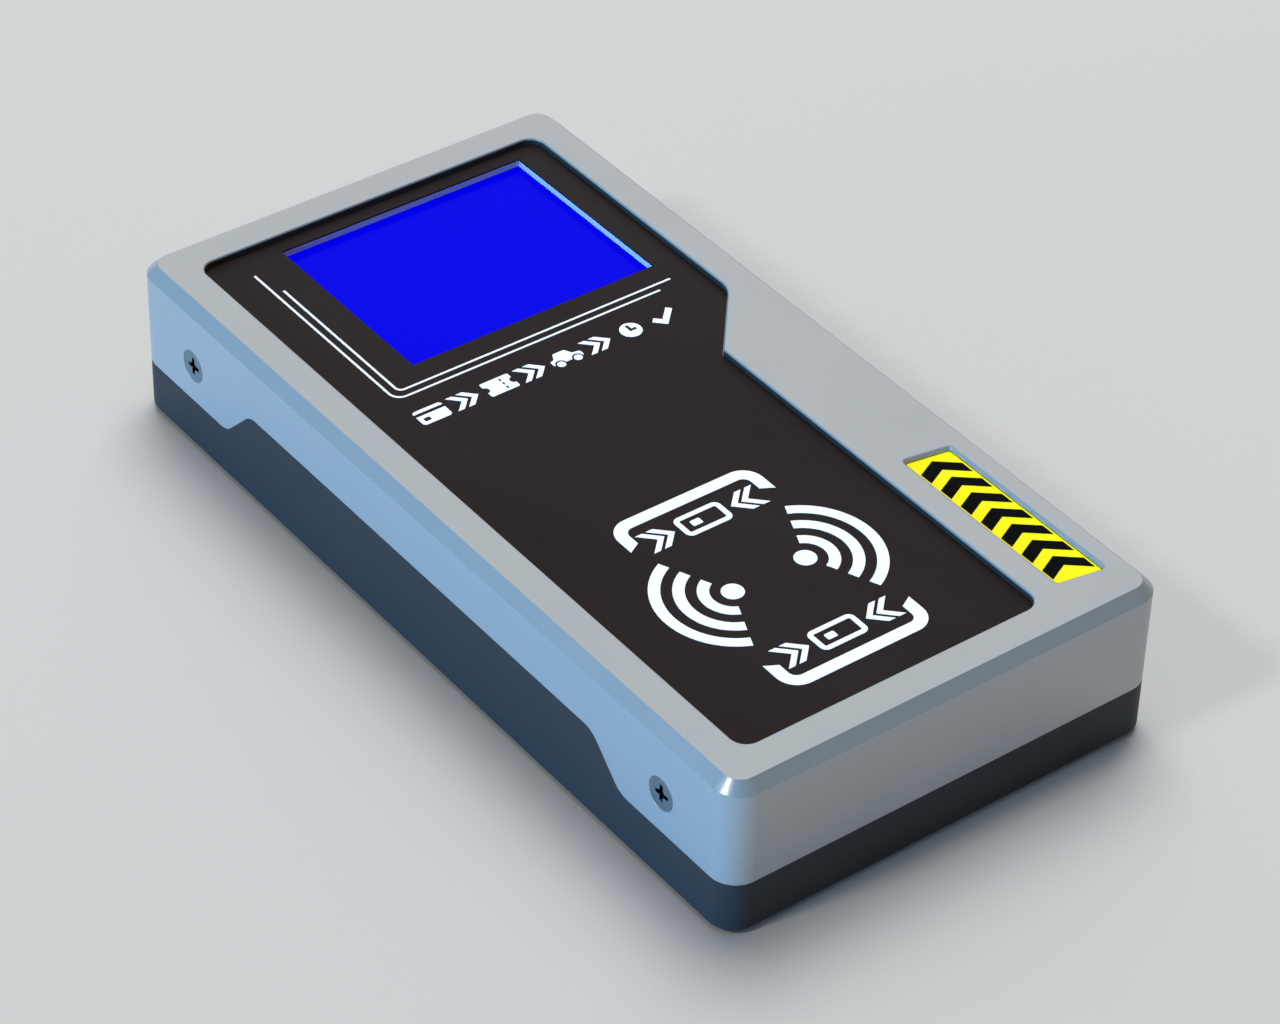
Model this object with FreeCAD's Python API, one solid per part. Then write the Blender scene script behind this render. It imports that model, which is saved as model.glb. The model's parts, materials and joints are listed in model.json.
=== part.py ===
import FreeCAD, Part
import math
import os

os.makedirs("parts", exist_ok=True)

# A desk-top parking validation terminal: a flat two-part case with a recessed front panel, a colour
# screen behind a window, a contactless card reader under the printed mark, and its sockets at the rear.
# Millimetres. The origin is on the desk, under the middle of the case. +X is the user's right,
# +Y points away from the user towards the screen end, and +Z is up.

V = FreeCAD.Vector
CORNERS = [(side, end) for end in (-1, 1) for side in (-1, 1)]

# Case
body_width = 90.0
body_length = 175.0
body_height = 30.7
corner_radius = 5.0
top_chamfer = 2.0
edge_round = 0.12
bottom_round = 0.6
side_wall = 2.5
floor_thickness = 2.2
top_thickness = 3.5
foot_proud = 0.8

# Seam between the halves, in heights above the case's bottom: low at both ends, high along the sides
seam_low = 10.0
seam_high = 18.0
seam_ramp_inset = 28.8
seam_blend = 4.5
seam_edge_round = 0.15
lip_height = 1.5
lip_thickness = 1.1
lip_gap = 0.15

# Front panel, its recess and the screen window
panel_side_margin = 8.0
panel_end_margin = 8.2
panel_narrow_margin = 20.2
panel_wide_length = 59.4
panel_step_length = 14.4
panel_corner = 3.0
panel_step_round = 6.0
panel_step_inner_round = 1.0
panel_gap = 0.15
panel_depth = 1.3
panel_thickness = 0.3
panel_rim_round = 0.4
adhesive_thickness = 0.1
adhesive_inset = 1.0
window_width = 52.5
window_length = 41.8
window_side_gap = 5.9
window_back_gap = 3.2
window_relief = 0.05

# Print on the front panel
ink_thickness = 0.05
line_width = 0.45
outer_line_side = 8.1
outer_line_front = 6.8
outer_line_back = 3.7
outer_line_right = 3.6
outer_line_corner = 2.2
inner_line_side = 6.3
inner_line_front = 5.0
inner_line_back = 10.4
inner_line_corner = 1.2
mark_front_gap = 32.4
mark_half_width = 15.2
mark_half_length = 25.2
mark_stroke = 2.4
mark_corner = 4.0
mark_leg = 7.6
mark_leg_slant = 1.35
dot_radius = 2.0
dot_spacing = 15.2
wave_first = 4.9
wave_pitch = 4.0
wave_stroke = 2.05
wave_half_angle = 66.0
wave_count = 3
mark_card_offset = 17.9
mark_card_width = 9.6
mark_card_height = 5.4
mark_card_stroke = 1.0
mark_card_corner = 1.3
mark_chip_width = 2.0
mark_chip_height = 1.5
mark_chip_corner = 0.3
mark_chip_shift = 1.4
mark_chevron_gap = 1.1
chevron_pitch = 2.2

# The row of pictures under the screen. The drawings of the car and the tick are an X, a Y and, for
# the car, a corner radius from the picture's middle.
icon_width = 6.0
icon_height = 4.2
icon_row_inset = 5.2
icon_row_drop = 6.7
icon_pitch = 7.1
icon_stroke = 0.95
card_corner = 0.7
card_stripe_rise = 0.9
card_stripe_width = 0.76
card_chip_shift = 1.5
card_chip_drop = 0.8
card_chip_width = 1.3
card_chip_corner = 0.2
arrow_tip = 0.4
ticket_corner = 0.4
ticket_bite = 0.8
ticket_hole_shift = 0.9
ticket_hole_width = 0.4
ticket_hole_length = 0.7
ticket_hole_pitch = 1.2
car_outline = [(-3.2, -1.1, 0.3), (3.2, -1.1, 0.3), (3.2, 0.3, 0.5), (1.7, 0.5, 0.3),
               (0.9, 2.0, 0.4), (-1.5, 2.0, 0.4), (-2.3, 0.5, 0.3), (-3.2, 0.3, 0.3)]
car_wheel_offset = 1.8
car_wheel_drop = 1.25
car_wheel_radius = 0.8
car_arch_radius = 1.15
clock_hour_hand = 1.2
clock_minute_hand = 1.5
tick_path = [(-2.2, 0.1), (-0.6, -1.5), (2.4, 1.5)]
tick_stroke = 1.235

# Slanted badge beside the reader
badge_width = 9.0
badge_length = 39.5
badge_front_gap = 29.7
badge_slant = math.radians(10.0)
badge_corner = 0.6
badge_gap = 0.15
badge_pocket_depth = 1.3
badge_thickness = 0.5
badge_edge_round = 0.7
badge_chevrons = 7
badge_chevron_pitch = 5.2
badge_chevron_rise = 2.6
badge_chevron_width = 2.8
badge_chevron_margin = 0.4

# Case screws: M3 countersunk, through the upper half's sides into inserts in the lower half's posts
screw_end_inset = 18.2
screw_height = 17.8
screw_length = 8.0
screw_radius = 1.5
screw_head_radius = 3.15
screw_head_rim = 0.2
screw_sink = 0.1
screw_clearance = 0.2
cross_span = 3.6
cross_width = 0.85
cross_depth = 1.5
post_gap = 0.2
post_depth = 8.0
post_width = 9.0
post_cap = 3.6
insert_radius = 2.35
insert_squeeze = 0.05
insert_length = 5.0

# Feet and the blank label under the case
foot_radius = 5.0
foot_side_inset = 10.0
foot_end_inset = 11.0
foot_pocket = 1.2
foot_gap = 0.1
foot_round = 0.4
label_width = 44.0
label_length = 28.0
label_corner = 1.0
label_thickness = 0.15
label_pocket = 0.2
label_gap = 0.2

# Small board screws: a pan head, a shank and a squeeze into their pilot holes
pan_height_share = 0.65
pilot_squeeze = 0.05
board_hole_gap = 0.15
small_screw_radius = 1.0
small_screw_head = 1.9
main_screw_radius = 1.25
main_screw_head = 2.4

# Boards
board_thickness = 1.6
board_corner = 2.0
main_boss_height = 3.6
main_boss_radius = 3.0
main_board_length = 120.0
main_board_rear_gap = 1.5
main_board_post_gap = 2.4
main_hole_inset = 4.0
main_front_hole = 5.0
main_rear_hole = 22.0

# Screen module
screen_drop = 1.6
glass_layer = 0.7
glass_ledge = 5.0
glass_side_margin = 8.35
glass_end_margin = 4.1
glass_gap = 0.3
backlight_thickness = 2.4
backlight_corner = 1.0
backlight_slot_width = 3.0
backlight_slot_depth = 0.4
screen_board_side = 1.4
screen_board_end = 4.0
screen_boss_radius = 1.7
screen_hole_side = 5.0
screen_hole_end = 1.8
screen_screw_length = 5.0

# Contactless reader board
reader_board_size = 56.0
reader_boss_height = 2.5
reader_boss_radius = 2.4
reader_hole_inset = 4.0
reader_screw_length = 4.0
coil_turns = 4
coil_track = 0.8
coil_space = 0.6
coil_thickness = 0.07
coil_inset = 9.0
coil_corner = 2.0
reader_chip_size = 6.0
reader_chip_height = 0.9

# Flat cables and their sockets
cable_thickness = 0.3
cable_bend = 3.0
screen_cable_width = 20.0
reader_cable_width = 8.0
socket_height = 1.8
socket_depth = 5.0
socket_side = 1.5
screen_socket_offset = 22.0
screen_socket_rear = 69.5
cable_loop = 7.0
reader_loop = 12.9
reader_socket_front = 11.6
reader_socket_inset = 6.0

# Rear sockets and switches, by their middles along X, all standing on the main board
socket_recess = 0.6
cutout_gap = 0.3
power_jack_x = -21.0
power_jack_width = 9.0
power_jack_height = 11.0
power_jack_depth = 14.2
power_jack_round = 3.0
power_jack_edge = 0.3
power_bore_radius = 3.15
power_bore_height = 6.5
power_bore_depth = 9.5
power_pin_radius = 1.0
power_pin_setback = 0.8
network_jack_x = 18.0
network_jack_width = 15.9
network_jack_height = 13.3
network_jack_depth = 16.0
network_shield = 0.35
network_mouth_width = 11.8
network_mouth_low = 3.4
network_mouth_high = 10.3
network_mouth_depth = 13.0
network_latch_width = 6.2
network_latch_drop = 1.5
network_contacts = 8
network_contact_pitch = 1.02
network_contact_width = 0.45
network_contact_root = 2.0
network_contact_tip = 9.0
network_contact_dip = 2.1
switch_x = -6.5
switch_width = 12.0
switch_depth = 6.0
switch_height = 5.6
switch_setback = 1.4
lever_height = 3.2
lever_width = 3.6
lever_thickness = 2.2
lever_travel = 3.0
lever_sink = 0.4
lever_edge = 0.4
carriage_width = 4.8
carriage_depth = 2.6
carriage_thickness = 3.4
slide_gap = 0.1
lever_window_gap = 0.6
lever_pocket_width = 12.4
lever_pocket_height = 7.0
lever_pocket_depth = 1.0
reset_x = 4.0
reset_body_width = 6.2
reset_body_height = 6.8
reset_body_depth = 4.4
reset_height = 4.2
reset_stem_radius = 1.7
reset_stem_reach = 1.1
reset_flange_radius = 2.2
reset_flange_thickness = 0.6
reset_travel = 0.25
reset_front_wall = 1.0
reset_fit = 0.08
reset_hole_radius = 1.0

# Smaller pieces on the main board. A place is an X and a distance from the board's rear edge.
processor_place = (20.0, 91.5)
processor_size = 12.0
processor_height = 1.4
lead_count = 12
lead_pitch = 0.8
lead_reach = 1.0
lead_size = 0.3
network_chip_place = (18.0, 47.5)
network_chip_size = 10.0
network_chip_height = 1.0
transformer_place = (18.0, 29.0)
transformer_width = 12.7
transformer_length = 12.0
transformer_height = 5.8
transformer_edge = 0.4
crystal_place = (4.0, 91.5)
crystal_length = 11.2
crystal_width = 4.6
crystal_height = 3.5
crystal_flat = 0.2
buzzer_place = (-22.0, 39.5)
buzzer_radius = 6.0
buzzer_height = 8.5
buzzer_hole_radius = 1.1
buzzer_hole_depth = 2.0
capacitor_cans = [((-15.5, 24.0), 4.0, 10.0), ((-6.5, 24.0), 3.15, 7.7)]
capacitor_base = 1.0
capacitor_base_margin = 0.3
inductor_place = (-1.5, 37.5)
inductor_size = 7.0
inductor_corner = 1.2
inductor_height = 4.0
inductor_eye_radius = 2.6
inductor_eye_depth = 0.4
regulator_place = (-11.5, 38.5)
regulator_width = 6.5
regulator_length = 6.0
regulator_height = 2.3
regulator_tab_width = 5.2
regulator_tab_reach = 1.6
regulator_tab_thickness = 0.5
cell_place = (-18.5, 64.0)
cell_radius = 10.0
cell_height = 3.2
cell_floor = 1.0
cell_gap = 0.25
cell_wall = 1.0
cell_edge = 0.4

# Length by which a cutter runs past what it cuts, and the distance at which two things count as meeting
spare = 5.0
TOUCH = 1e-4

# Levels and faces that follow from the sizes above
body_bottom = foot_proud
body_top = body_bottom + body_height
floor_top = body_bottom + floor_thickness
ceiling = body_top - top_thickness
half_width = body_width / 2
half_length = body_length / 2
inner_half_width = half_width - side_wall
inner_half_length = half_length - side_wall
seam_end_level = body_bottom + seam_low

panel_top = body_top - panel_depth
panel_bottom = panel_top - panel_thickness
seat_top = panel_bottom - adhesive_thickness
panel_left = -half_width + panel_side_margin
panel_right = half_width - panel_side_margin
panel_narrow_right = half_width - panel_narrow_margin
panel_front = -half_length + panel_end_margin
panel_back = half_length - panel_end_margin
window_right = panel_right - window_side_gap
window_left = window_right - window_width
window_back = panel_back - window_back_gap
window_front = window_back - window_length
screen_x = (window_left + window_right) / 2
screen_y = (window_front + window_back) / 2
mark_x = (panel_left + panel_narrow_right) / 2
mark_y = panel_front + mark_front_gap
badge_x = (panel_narrow_right + half_width) / 2
badge_y = -half_length + badge_front_gap
badge_top = body_top - badge_pocket_depth + badge_thickness

screw_y = half_length - screw_end_inset
screw_z = body_bottom + screw_height
post_outer = inner_half_width - post_gap
post_inner = post_outer - post_depth
post_top = screw_z + post_cap

main_bottom = floor_top + main_boss_height
main_top = main_bottom + board_thickness
main_half_width = post_inner - main_board_post_gap
main_rear = inner_half_length - main_board_rear_gap
main_front = main_rear - main_board_length
main_holes = [(side * (main_half_width - main_hole_inset), y) for side in (-1, 1)
              for y in (main_front + main_front_hole, main_rear - main_rear_hole)]

screen_top = panel_top - screen_drop
glass_bottom = screen_top - 2 * glass_layer
glass_half_width = window_width / 2 + glass_side_margin
glass_half_length = window_length / 2 + glass_end_margin
screen_board_top = glass_bottom - backlight_thickness
screen_board_bottom = screen_board_top - board_thickness
screen_board_half_width = glass_half_width + screen_board_side
screen_board_half_length = glass_half_length + screen_board_end
screen_holes = [(screen_x + side * (screen_board_half_width - screen_hole_side),
                 screen_y + end * (screen_board_half_length - screen_hole_end)) for side, end in CORNERS]

reader_board_top = ceiling - reader_boss_height
reader_board_bottom = reader_board_top - board_thickness
reader_hole_reach = reader_board_size / 2 - reader_hole_inset
reader_holes = [(mark_x + side * reader_hole_reach, mark_y + end * reader_hole_reach)
                for side, end in CORNERS]

socket_face = half_length - socket_recess
switch_face = inner_half_length - switch_setback
lever_z = main_top + lever_height
lever_rest_x = switch_x - lever_travel / 2
reset_z = main_top + reset_height


# Drawing planes: how a flat (u, v) point is placed, and the way a prism grows from it
def plan_point(flat):
    return V(flat.x, flat.y, 0)


def side_point(flat):
    return V(0, flat.x, flat.y)


def rear_point(flat):
    return V(flat.x, 0, flat.y)


PLAN = (plan_point, V(0, 0, 1))
SIDE = (side_point, V(1, 0, 0))
REAR = (rear_point, V(0, 1, 0))


def rounded_wire(corners, place):
    """Closed wire through (u, v, radius) corners, each rounded by its own radius."""
    points = [V(u, v, 0) for u, v, radius in corners]
    turns = []
    for index, (u, v, radius) in enumerate(corners):
        here = points[index]
        back = (points[index - 1] - here).normalize()
        ahead = (points[(index + 1) % len(points)] - here).normalize()
        half_angle = back.getAngle(ahead) / 2
        if radius > 0:
            reach = radius / math.tan(half_angle)
            depth = radius / math.sin(half_angle) - radius
            middle = here + (back + ahead).normalize() * depth
        else:
            reach = 0
            middle = None
        turns.append((here + back * reach, middle, here + ahead * reach))
    edges = []
    for index, (arrive, middle, leave) in enumerate(turns):
        if middle:
            edges.append(Part.Arc(place(arrive), place(middle), place(leave)).toShape())
        onward = turns[(index + 1) % len(turns)][0]
        if (onward - leave).Length > TOUCH:
            edges.append(Part.LineSegment(place(leave), place(onward)).toShape())
    return Part.Wire(edges)


def prism(corners, low, high, plane=PLAN):
    """Solid with a rounded outline in one plane, from low to high across it."""
    place, normal = plane
    face = Part.Face(rounded_wire(corners, place))
    face.translate(normal * low)
    return face.extrude(normal * (high - low))


def rectangle(left, right, front, back, radius=0.0):
    """Corners of a rectangle, for prism."""
    return [(left, front, radius), (right, front, radius), (right, back, radius), (left, back, radius)]


def span(middle, size):
    """The two ends of a size centred on a place."""
    return (middle - size / 2, middle + size / 2)


def block(x, y, z):
    """Box between pairs of coordinates, given in either order."""
    low = V(min(x), min(y), min(z))
    high = V(max(x), max(y), max(z))
    size = high - low
    return Part.makeBox(size.x, size.y, size.z, low)


def rod(radius, start, direction, length):
    return Part.makeCylinder(radius, length, start, direction)


def joined(solids):
    """One clean solid out of touching or overlapping ones."""
    return solids[0].multiFuse(solids[1:]).removeSplitter()


def cut_away(solid, tools):
    return solid.cut(tools[0].multiFuse(tools[1:]) if len(tools) > 1 else tools[0])


def strip(path, thickness, low, high, plane):
    """Band of even thickness that follows (u, v, radius) points, as a bent sheet seen edge on."""
    points = [V(u, v, 0) for u, v, radius in path]
    headings = [(after - before).normalize() for before, after in zip(points, points[1:])]
    left_side = []
    right_side = []
    for index, (u, v, radius) in enumerate(path):
        before = headings[max(index - 1, 0)]
        after = headings[min(index, len(headings) - 1)]
        normal = V(-before.y - after.y, before.x + after.x, 0).normalize()
        reach = thickness / 2 / normal.dot(V(-before.y, before.x, 0))
        turn = before.cross(after).z
        bend = math.copysign(thickness / 2, turn) if radius else 0
        left = points[index] + normal * reach
        right = points[index] - normal * reach
        left_side.append((left.x, left.y, radius - bend))
        right_side.append((right.x, right.y, radius + bend))
    return prism(left_side + right_side[::-1], low, high, plane)


def case_block(inset, low, high):
    """The case's outline, drawn in by inset, between two levels."""
    x = half_width - inset
    y = half_length - inset
    return prism(rectangle(-x, x, -y, y, max(corner_radius - inset, 0.5)), low, high)


def below_seam(rise=0.0):
    """Everything under the seam line, with the line lifted by rise. The ramps climb at 45 degrees."""
    low = body_bottom + seam_low + rise
    high = body_bottom + seam_high + rise
    foot = half_length - seam_ramp_inset
    top = foot - (seam_high - seam_low)
    reach = half_length + spare
    base = -spare
    corners = [(-reach, base, 0), (reach, base, 0), (reach, low, 0), (foot, low, seam_blend),
               (top, high, seam_blend), (-top, high, seam_blend), (-foot, low, seam_blend),
               (-reach, low, 0)]
    return prism(corners, -half_width - spare, half_width + spare, SIDE)


def lip_band(extra):
    """Space of the overlapping lip just above the seam; extra adds the clearance round it."""
    outer = case_block(side_wall - lip_thickness - extra, floor_top, ceiling)
    inner = case_block(side_wall, floor_top, ceiling)
    zone = below_seam(lip_height + extra).cut(below_seam())
    return outer.cut(inner).common(zone)


def edges_at(solid, level):
    """Edges that lie flat at one level."""
    return [edge for edge in solid.Edges
            if abs(edge.BoundBox.ZMin - level) < TOUCH and abs(edge.BoundBox.ZMax - level) < TOUCH]


def edges_facing_rear(solid, y):
    """Edges that lie in the upright plane at y."""
    return [edge for edge in solid.Edges
            if abs(edge.BoundBox.YMin - y) < TOUCH and abs(edge.BoundBox.YMax - y) < TOUCH]


def middle_of(edge):
    return edge.valueAt((edge.FirstParameter + edge.LastParameter) / 2)


def whole_case():
    """Both halves as one hollow body, with its chamfered top and softened bottom edge."""
    outer = case_block(0, body_bottom, body_top)
    outer = outer.makeChamfer(top_chamfer, edges_at(outer, body_top))
    chamfer_edges = edges_at(outer, body_top) + edges_at(outer, body_top - top_chamfer)
    outer = outer.makeFillet(edge_round, chamfer_edges)
    outer = outer.makeFillet(bottom_round, edges_at(outer, body_bottom))
    return outer.cut(case_block(side_wall, floor_top, ceiling))


def soften_seam(shell):
    """Rounds the outer edge along the seam, so that the closed halves show a fine groove."""
    seam = below_seam()
    core = case_block(seam_edge_round / 2, 0, body_top)
    rim = []
    for edge in shell.Edges:
        place = middle_of(edge)
        on_seam = seam.distToShape(Part.Vertex(place))[0] < TOUCH and not seam.isInside(place, TOUCH, False)
        if on_seam and not core.isInside(place, TOUCH, True):
            rim.append(edge)
    return shell.makeFillet(seam_edge_round, rim)


def rear_cutouts():
    """Cutters for everything that reaches through the rear wall."""
    through = (inner_half_length - spare, half_length + spare)
    power = block(span(power_jack_x, power_jack_width + 2 * cutout_gap), through,
                  (main_top - cutout_gap, main_top + power_jack_height + cutout_gap))
    network = block(span(network_jack_x, network_jack_width + 2 * cutout_gap), through,
                    (main_top - cutout_gap, main_top + network_jack_height + cutout_gap))
    lever_run = lever_width + lever_travel + 2 * lever_window_gap
    lever_slot = block(span(switch_x, lever_run), through,
                       span(lever_z, lever_thickness + 2 * lever_window_gap))
    lever_pocket = prism(rectangle(*span(switch_x, lever_pocket_width),
                                   *span(lever_z, lever_pocket_height), lever_pocket_depth),
                         half_length - lever_pocket_depth, half_length + spare, REAR)
    pin_hole = rod(reset_hole_radius, V(reset_x, inner_half_length - spare, reset_z), V(0, 1, 0),
                   side_wall + 2 * spare)
    return [power, network, lever_slot, lever_pocket, pin_hole]


def screw_sites():
    """Each case screw's place on the case's side, and the way it points in."""
    return [(V(side * half_width, end * screw_y, screw_z), V(-side, 0, 0)) for side, end in CORNERS]


def label_block(inset, low, high):
    """Outline of the label's pocket, drawn in by inset, between two levels."""
    x = label_width / 2 - inset
    y = label_length / 2 - inset
    return prism(rectangle(-x, x, -y, y, label_corner), low, high)


def lower_shell():
    """Dark lower half: floor, low walls, lip, screw posts, board bosses and foot pockets."""
    shell = soften_seam(whole_case().common(below_seam()))
    additions = [lip_band(0)]
    cuts = rear_cutouts()
    for side, end in CORNERS:
        y = span(end * screw_y, post_width)
        additions.append(block((side * post_inner, side * post_outer), y, (floor_top, post_top)))
        additions.append(block((side * post_outer, side * (inner_half_width + side_wall / 2)), y,
                               (floor_top, seam_end_level - lip_height)))
        cuts.append(rod(foot_radius + foot_gap,
                        V(side * (half_width - foot_side_inset), end * (half_length - foot_end_inset),
                          body_bottom - spare), V(0, 0, 1), spare + foot_pocket))
    for place, inward in screw_sites():
        seat = place + inward * (half_width - post_outer)
        cuts.append(rod(insert_radius - insert_squeeze, seat, inward, insert_length))
        cuts.append(rod(screw_radius + screw_clearance, seat, inward, insert_length + screw_radius))
    for x, y in main_holes:
        additions.append(rod(main_boss_radius, V(x, y, floor_top), V(0, 0, 1), main_boss_height))
        cuts.append(rod(main_screw_radius - pilot_squeeze, V(x, y, floor_top), V(0, 0, 1),
                        main_boss_height))
    cuts.append(label_block(0, body_bottom - spare, body_bottom + label_pocket))
    return cut_away(joined([shell] + additions), cuts)


def panel_face():
    """Flat outline of the front panel's recess: wide round the screen, narrow beside the badge."""
    step_back = panel_back - panel_wide_length
    corners = [(panel_left, panel_front, panel_corner),
               (panel_narrow_right, panel_front, panel_corner),
               (panel_narrow_right, step_back - panel_step_length, panel_step_inner_round),
               (panel_right, step_back, panel_step_round),
               (panel_right, panel_back, panel_corner),
               (panel_left, panel_back, panel_corner)]
    return Part.Face(rounded_wire(corners, plan_point))


def panel_layer(inset, low, high):
    """The recess outline drawn in by inset, as a plate between two levels."""
    face = panel_face()
    if inset:
        face = face.makeOffset2D(-inset)
    face.translate(V(0, 0, low))
    return face.extrude(V(0, 0, high - low))


def window_block(grow, low, high):
    return block((window_left - grow, window_right + grow), (window_front - grow, window_back + grow),
                 (low, high))


def badge_outline(inset, corner):
    """Parallelogram of the badge's pocket, drawn in by inset; its ends slant down to the right."""
    half = badge_width / 2 - inset
    reach = badge_length / 2 - inset
    skew = half * math.tan(badge_slant)
    left = badge_x - half
    right = badge_x + half
    return [(left, badge_y - reach + skew, corner), (right, badge_y - reach - skew, corner),
            (right, badge_y + reach - skew, corner), (left, badge_y + reach + skew, corner)]


def hanging_boss(radius, place, foot_level, pilot_radius, pilot_depth):
    """A boss that hangs from the ceiling, and the cutter of its pilot hole."""
    x, y = place
    boss = rod(radius, V(x, y, foot_level), V(0, 0, 1), ceiling - foot_level)
    pilot = rod(pilot_radius, V(x, y, foot_level), V(0, 0, 1), pilot_depth)
    return boss, pilot


def rim_edges(shell, plug):
    """Edges of the shell's top face that lie against the side of a plug in it."""
    return [edge for edge in edges_at(shell, body_top)
            if plug.distToShape(Part.Vertex(middle_of(edge)))[0] < TOUCH]


def upper_shell():
    """Silver upper half: top with the panel recess, badge pocket, countersunk sides and inner bosses."""
    shell = soften_seam(whole_case().cut(below_seam()))
    pocket = prism(badge_outline(0, badge_corner), body_top - badge_pocket_depth, body_top + spare)
    shell = shell.cut(pocket)
    plug = prism(badge_outline(0, badge_corner), 0, body_top)
    shell = shell.makeFillet(badge_edge_round, rim_edges(shell, plug))
    shell = shell.cut(panel_layer(0, seat_top, body_top + spare))
    shell = shell.makeFillet(panel_rim_round, rim_edges(shell, panel_layer(0, 0, body_top)))
    additions = []
    cuts = [lip_band(lip_gap), window_block(window_relief, ceiling - spare, body_top)]
    cuts.append(block(span(screen_x, 2 * (glass_half_width + glass_gap)),
                      span(screen_y, 2 * (glass_half_length + glass_gap)), (ceiling - spare, screen_top)))
    pilot = small_screw_radius - pilot_squeeze
    for place in screen_holes:
        boss, hole = hanging_boss(screen_boss_radius, place, screen_board_top, pilot,
                                  screen_screw_length - board_thickness)
        additions.append(boss)
        cuts.append(hole)
    for place in reader_holes:
        boss, hole = hanging_boss(reader_boss_radius, place, reader_board_top, pilot,
                                  reader_screw_length - board_thickness)
        additions.append(boss)
        cuts.append(hole)
    for place, inward in screw_sites():
        mouth = screw_head_radius + screw_sink
        cuts.append(rod(screw_radius + screw_clearance, place - inward, inward, side_wall + 2))
        cuts.append(Part.makeCone(mouth, 0, mouth, place, inward))
    return cut_away(joined([shell] + additions), cuts + rear_cutouts())


def front_panel():
    """Dark panel that lies in the recess, with the window cut through it."""
    plate = panel_layer(panel_gap, panel_bottom, panel_top)
    return plate.cut(window_block(0, panel_bottom - spare, panel_top + spare))


def panel_adhesive():
    """Double-sided film between the panel and its seat."""
    film = panel_layer(panel_gap + adhesive_inset, seat_top, panel_bottom)
    return film.cut(window_block(adhesive_inset, seat_top - spare, panel_bottom + spare))


def ink(corners):
    """A flat printed shape on the front panel."""
    return prism(corners, panel_top, panel_top + ink_thickness)


def ink_disc(x, y, radius):
    return rod(radius, V(x, y, panel_top), V(0, 0, 1), ink_thickness)


def ink_ring(x, y, outer, inner):
    return ink_disc(x, y, outer).cut(ink_disc(x, y, inner))


def ink_frame(x, y, width, height, stroke, corner):
    """Outline of a rounded rectangle."""
    outer = ink(rectangle(*span(x, width), *span(y, height), corner))
    inner = ink(rectangle(*span(x, width - 2 * stroke), *span(y, height - 2 * stroke),
                          max(corner - stroke, 0.1)))
    return outer.cut(inner)


def printed_lines():
    """Two fine lines that turn round the window's near left corner."""
    outer_x = window_left - outer_line_side
    outer_y = window_front - outer_line_front
    inner_x = window_left - inner_line_side
    inner_y = window_front - inner_line_front
    outer = [(outer_x, window_back - outer_line_back, 0), (outer_x, outer_y, outer_line_corner),
             (window_right - outer_line_right, outer_y, 0)]
    inner = [(inner_x, window_back - inner_line_back, 0), (inner_x, inner_y, inner_line_corner),
             (window_right, inner_y, 0)]
    low = panel_top
    return [strip(path, line_width, low, low + ink_thickness, PLAN) for path in (outer, inner)]


def printed_bracket(way):
    """Rounded bracket over (way 1) or under (way -1) the reader mark, with slanted leg ends."""
    outer_end = mark_half_length - mark_leg
    inner_end = outer_end + mark_leg_slant
    inner_x = mark_half_width - mark_stroke
    inner_y = mark_half_length - mark_stroke
    inner_corner = mark_corner - mark_stroke
    right = [(mark_half_width, mark_half_length, mark_corner), (mark_half_width, outer_end, 0),
             (inner_x, inner_end, 0), (inner_x, inner_y, inner_corner)]
    left = [(-x, y, radius) for x, y, radius in reversed(right)]
    return ink([(mark_x + x, mark_y + way * y, radius) for x, y, radius in right + left])


def printed_waves(way):
    """Dot and spreading arcs on one side of the mark."""
    x = mark_x + way * dot_spacing / 2
    reach = mark_half_width * 2
    run = reach * math.cos(math.radians(wave_half_angle))
    rise = reach * math.sin(math.radians(wave_half_angle))
    wedge = ink([(x, mark_y, 0), (x + way * run, mark_y - rise, 0), (x + way * reach * 2, mark_y, 0),
                 (x + way * run, mark_y + rise, 0)])
    shapes = [ink_disc(x, mark_y, dot_radius)]
    for index in range(wave_count):
        radius = wave_first + index * wave_pitch
        ring = ink_ring(x, mark_y, radius + wave_stroke / 2, radius - wave_stroke / 2)
        shapes.append(ring.common(wedge))
    return shapes


def card_mark(y):
    """A card with its chip between two pairs of chevrons that point at it."""
    chip = rectangle(*span(mark_x - mark_chip_shift, mark_chip_width), *span(y, mark_chip_height),
                     mark_chip_corner)
    shapes = [ink_frame(mark_x, y, mark_card_width, mark_card_height, mark_card_stroke, mark_card_corner),
              ink(chip)]
    for way in (-1, 1):
        for index in range(2):
            tip = mark_x + way * (mark_card_width / 2 + mark_chevron_gap + index * chevron_pitch)
            shapes.append(chevron(tip, y, -way, mark_card_height, mark_card_stroke))
    return shapes


def chevron(tip, y, way, height, stroke):
    """A flat arrow head whose point is at tip; way 1 points right."""
    half = height / 2
    back = -way * half
    wide = -way * stroke * math.sqrt(2)
    return ink([(tip, y, 0), (tip + back, y + half, 0), (tip + back + wide, y + half, 0),
                (tip + wide, y, 0), (tip + back + wide, y - half, 0), (tip + back, y - half, 0)])


def icon_plate(x, y, corner):
    """The solid rounded shape that the card and the ticket are cut from."""
    return ink(rectangle(*span(x, icon_width), *span(y, icon_height), corner))


def card_icon(x, y):
    """A solid card with a clear stripe and a clear chip."""
    stripe = rectangle(*span(x, icon_width + spare), *span(y + card_stripe_rise, card_stripe_width))
    chip = rectangle(*span(x - card_chip_shift, card_chip_width), *span(y - card_chip_drop, icon_stroke),
                     card_chip_corner)
    return [cut_away(icon_plate(x, y, card_corner), [ink(stripe), ink(chip)])]


def arrow_icon(x, y):
    tips = [x + arrow_tip + index * chevron_pitch for index in range(2)]
    return [chevron(tip, y, 1, icon_height, icon_stroke) for tip in tips]


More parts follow.
